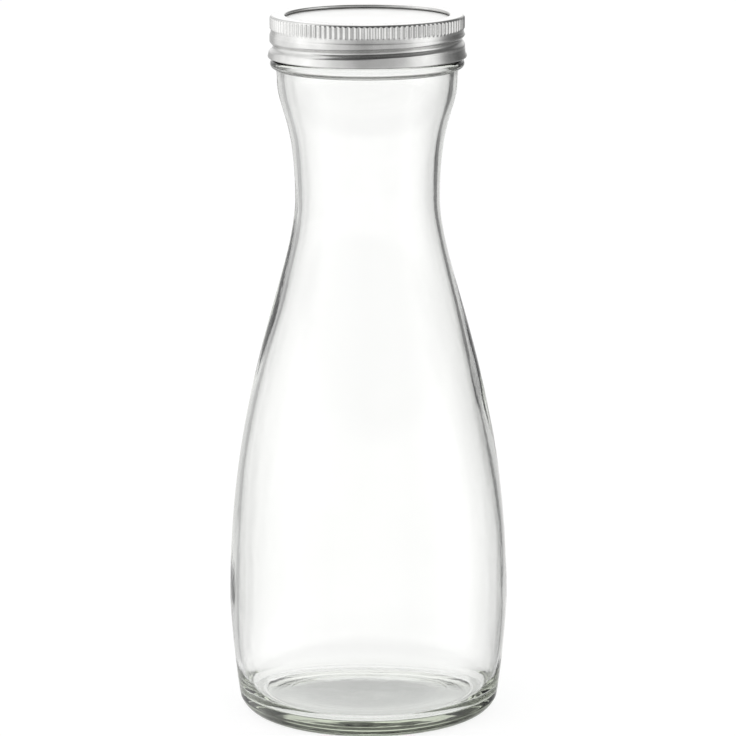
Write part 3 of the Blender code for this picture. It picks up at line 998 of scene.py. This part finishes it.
class CARAFE_OT_disc(bpy.types.Operator):
    """Stamp the lid disc with its recessed panel and turned-down edge"""

    bl_idname = "carafe.disc"
    bl_label = "Lid disc"

    def execute(self, context):
        settings = context.scene.carafe_lid
        sheet = settings.sheet
        top, bottom, radius = DISC_HIGH.z, DISC_LOW.z, DISC_HIGH.x
        panel_top = top - settings.panel_recess
        slope_start = (settings.panel_radius, panel_top)
        slope_end = (settings.panel_radius + settings.panel_slope, top)
        ease = settings.panel_slope / 3
        inner_edge = radius - sheet
        edge = (inner_edge - settings.edge_bend, top - sheet - settings.edge_bend)
        step_up = bend(
            slope_start, (slope_start[0] + ease, panel_top), (slope_end[0] - ease, top), slope_end, steps=8
        )
        step_down = [(place[0], place[1] - sheet) for place in reversed(step_up)]
        outline = joined(
            straight((0, panel_top), slope_start, steps=10),
            step_up,
            arc(edge, settings.edge_bend + sheet, 90, 0, steps=8),
            [(radius, bottom), (inner_edge, bottom)],
            arc(edge, settings.edge_bend, 0, 90, steps=5),
            step_down,
            straight((settings.panel_radius, panel_top - sheet), (0, panel_top - sheet), steps=10),
        )
        disc = spun("lid_plate", outline, even_turn(settings.segments), closed=False)
        dress(disc, bright_plate(settings), "lid", "lid_disc")
        return {"FINISHED"}


class CARAFE_OT_seal(bpy.types.Operator):
    """Flow the ring of sealing compound under the disc's edge"""

    bl_idname = "carafe.seal"
    bl_label = "Sealing ring"

    def execute(self, context):
        settings = context.scene.carafe_lid
        rounding = settings.seal_chamfer
        inner = settings.panel_radius + settings.panel_slope + rounding
        outer = SEAL_HIGH.x - rounding
        top, bottom = SEAL_HIGH.z - rounding, SEAL_LOW.z + rounding
        outline = joined(
            arc((outer, top), rounding, 90, 0, steps=5),
            arc((outer, bottom), rounding, 0, -90, steps=5),
            straight((outer, SEAL_LOW.z), (inner, SEAL_LOW.z), steps=4),
            arc((inner, bottom), rounding, -90, -180, steps=5),
            arc((inner, top), rounding, 180, 90, steps=5),
        )
        ring = spun("seal_ring", outline, even_turn(settings.segments), closed=True)
        dress(ring, seal_compound(settings), "lid", "sealing_ring")
        return {"FINISHED"}


def pale_floor(settings):
    """A pale matt table, partly lit white, so that only the shadow shows. Glass and metal see past it."""
    material, finish = new_finish("pale_table")
    point = finish.point()
    x, y = finish.parts(point)[:2]
    cloud = finish.noise(point, TABLE_CLOUD, detail=2.0)
    colour = finish.patchy(cloud, settings.floor_colour, TABLE_DULL_SHARE)
    inputs = {"Base Color": colour, "Roughness": 0.9, "Specular IOR Level": 0.0}
    table = finish.node("ShaderNodeBsdfPrincipled", inputs=inputs)
    white = finish.node("ShaderNodeEmission", inputs={"Color": (1, 1, 1, 1), "Strength": TABLE_WHITE_LEVEL})
    clear = finish.node("ShaderNodeBsdfTransparent")
    path = finish.node("ShaderNodeLightPath")
    refracted = path.out("Is Transmission Ray")
    mirrored = path.out("Is Glossy Ray") * (1 - refracted)
    away = ((x * x + y * y) ** 0.5).within(TABLE_FADE_RADII)
    through = refracted * (away * TABLE_EXTRA_SHARE + TABLE_CLEAR_SHARE)
    through = through + mirrored * away * TABLE_MIRRORED_SHARE
    seen = finish.mixed(path.out("Is Camera Ray") * TABLE_WHITE_SHARE, table, white)
    finish.finish_with(finish.mixed(through, seen, clear))
    return material


def bent_surround(finish, ahead, aside, up, off_axis):
    """What glass sees: white behind, darker to the backdrop's sides and over its top, lit overhead."""
    level = finish.by_stops(BENT_STOPS, off_axis)
    level = level + (1 - level) * ahead.within(BACKDROP_SIDE, SIDES_SOFTNESS, 0.0)
    flag = aside.within(FLAG_NEAR_SIDE) * aside.within(FLAG_FAR_SIDE, 1.0, 0.0) * ahead.within(FLAG_FRONT)
    level = level * (1 - flag * FLAG_DARKNESS)
    level = level ** up.within(TABLE_EDGE, CONTRAST_BELOW, 1.0)
    level = level * up.within(BACKDROP_TOP, 1.0, ABOVE_BACKDROP)
    return level + up.within(OVERHEAD_EDGE) * OVERHEAD_LEVEL


def mirrored_surround(finish, ahead, aside, up, turn):
    """What metal sees: bright and dark cards all round, a lit back, and a dark canopy over the front."""
    stops = [(0.5 + angle / 360, level / BRIGHTEST) for angle, level in MIRRORED_LEVELS]
    cards = finish.by_stops(stops, turn) * BRIGHTEST
    lit_back = ahead.within(LIT_BACK_SIDE) * up.within(LIT_BACK_FOOT)
    canopy = (ahead - aside.within(CANOPY_TURN) * CANOPY_LEAN).within(CANOPY_BACK, 1.0, 0.0)
    canopy = canopy * up.within(CANOPY_FOOT)
    level = (cards + lit_back * LIT_BACK_LEVEL) * (1 - canopy * CANOPY_DARKNESS)
    return level * up.within(GROUND_EDGE, GROUND_LEVEL, 1.0)


def studio_world(settings):
    """Soft light all round, where glass and metal see the studio instead."""
    world = bpy.data.worlds.new("studio")
    bpy.context.scene.world = world
    world.use_nodes = True
    finish = Finish(world.node_tree)
    x, y, z = finish.parts(finish.point("Generated"))
    flat = (x * x + y * y) ** 0.5
    ahead = y / flat
    aside = x / flat
    off_axis = x.math("ABSOLUTE").math("MINIMUM", y.math("ABSOLUTE")) / flat
    turn = x.math("ARCTAN2", y) / (2 * pi) + 0.5
    bent = bent_surround(finish, ahead, aside, z, off_axis)
    mirrored = mirrored_surround(finish, ahead, aside, z, turn)
    path = finish.node("ShaderNodeLightPath")
    refracting = path.out("Is Transmission Ray")
    mirroring = path.out("Is Glossy Ray") * (1 - refracting)
    level = path.out("Is Camera Ray") * (1 - settings.sky_light) + settings.sky_light
    level = level + refracting * (bent - settings.sky_light)
    level = level + mirroring * (mirrored - settings.sky_light)
    light = finish.node("ShaderNodeBackground", inputs={"Color": (1, 1, 1, 1), "Strength": level})
    finish.node("ShaderNodeOutputWorld", inputs={"Surface": light.out()})


def place_table(context, settings):
    """The pale table under the carafe, a plain square."""
    half = settings.floor_size / 2
    mesh = bpy.data.meshes.new("table_top")
    corners = [(-half, -half, 0), (half, -half, 0), (half, half, 0), (-half, half, 0)]
    mesh.from_pydata(corners, [], [(0, 1, 2, 3)])
    mesh.materials.append(pale_floor(settings))
    table = bpy.data.objects.new("table_top", mesh)
    context.scene.collection.objects.link(table)


def place_lamp(context, settings):
    """The soft key lamp, which neither glass nor metal shows."""
    lamp_data = bpy.data.lights.new("key_softbox", "AREA")
    lamp_data.energy = settings.key_power
    lamp_data.shape = "DISK"
    lamp_data.size = settings.key_size
    lamp = bpy.data.objects.new("key_softbox", lamp_data)
    lamp.location = settings.key_place
    aim = Vector((0, 0, settings.key_aim)) - lamp.location
    lamp.rotation_euler = aim.to_track_quat("-Z", "Y").to_euler()
    lamp.visible_glossy = False
    lamp.visible_transmission = False
    context.scene.collection.objects.link(lamp)


def place_camera(context, settings):
    """The camera where the photograph was taken from."""
    camera_data = bpy.data.cameras.new("camera")
    camera_data.lens = settings.lens
    camera_data.clip_end = VIEW_REACH
    camera = bpy.data.objects.new("camera", camera_data)
    camera.location = (0, -settings.camera_distance, settings.camera_height)
    aimed = Euler((pi / 2 - settings.camera_dip, 0, settings.camera_roll), "ZYX")
    camera.rotation_euler = aimed.to_quaternion().to_euler()
    context.scene.collection.objects.link(camera)
    context.scene.camera = camera


class CARAFE_OT_studio(bpy.types.Operator):
    """Set the pale table, the soft light and the camera"""

    bl_idname = "carafe.studio"
    bl_label = "Studio"

    def execute(self, context):
        settings = context.scene.carafe_studio
        place_table(context, settings)
        studio_world(settings)
        place_lamp(context, settings)
        place_camera(context, settings)
        context.scene.cycles.glossy_bounces = settings.turns_in_glass
        context.scene.view_settings.view_transform = "Standard"
        return {"FINISHED"}


class CARAFE_PT_panel(bpy.types.Panel):
    """The carafe's pieces in the 3D view's sidebar"""

    bl_label = "Carafe"
    bl_idname = "CARAFE_PT_panel"
    bl_space_type = "VIEW_3D"
    bl_region_type = "UI"
    bl_category = "Carafe"

    def draw(self, context):
        for operator in OPERATORS:
            self.layout.operator(operator.bl_idname)


SETTINGS = {
    "carafe_bottle": BottleSettings,
    "carafe_band": BandSettings,
    "carafe_lid": LidSettings,
    "carafe_studio": StudioSettings,
}
OPERATORS = (CARAFE_OT_bottle, CARAFE_OT_band, CARAFE_OT_disc, CARAFE_OT_seal, CARAFE_OT_studio)


def register():
    for group in SETTINGS.values():
        bpy.utils.register_class(group)
    for name, group in SETTINGS.items():
        setattr(bpy.types.Scene, name, PointerProperty(type=group))
    for kind in (*OPERATORS, CARAFE_PT_panel):
        bpy.utils.register_class(kind)


def unregister():
    for kind in (CARAFE_PT_panel, *reversed(OPERATORS)):
        bpy.utils.unregister_class(kind)
    for name in SETTINGS:
        delattr(bpy.types.Scene, name)
    for group in reversed(SETTINGS.values()):
        bpy.utils.unregister_class(group)


def main():
    register()
    bpy.ops.carafe.bottle()
    bpy.ops.carafe.band()
    bpy.ops.carafe.disc()
    bpy.ops.carafe.seal()
    bpy.ops.carafe.studio()


if __name__ == "__main__":
    main()
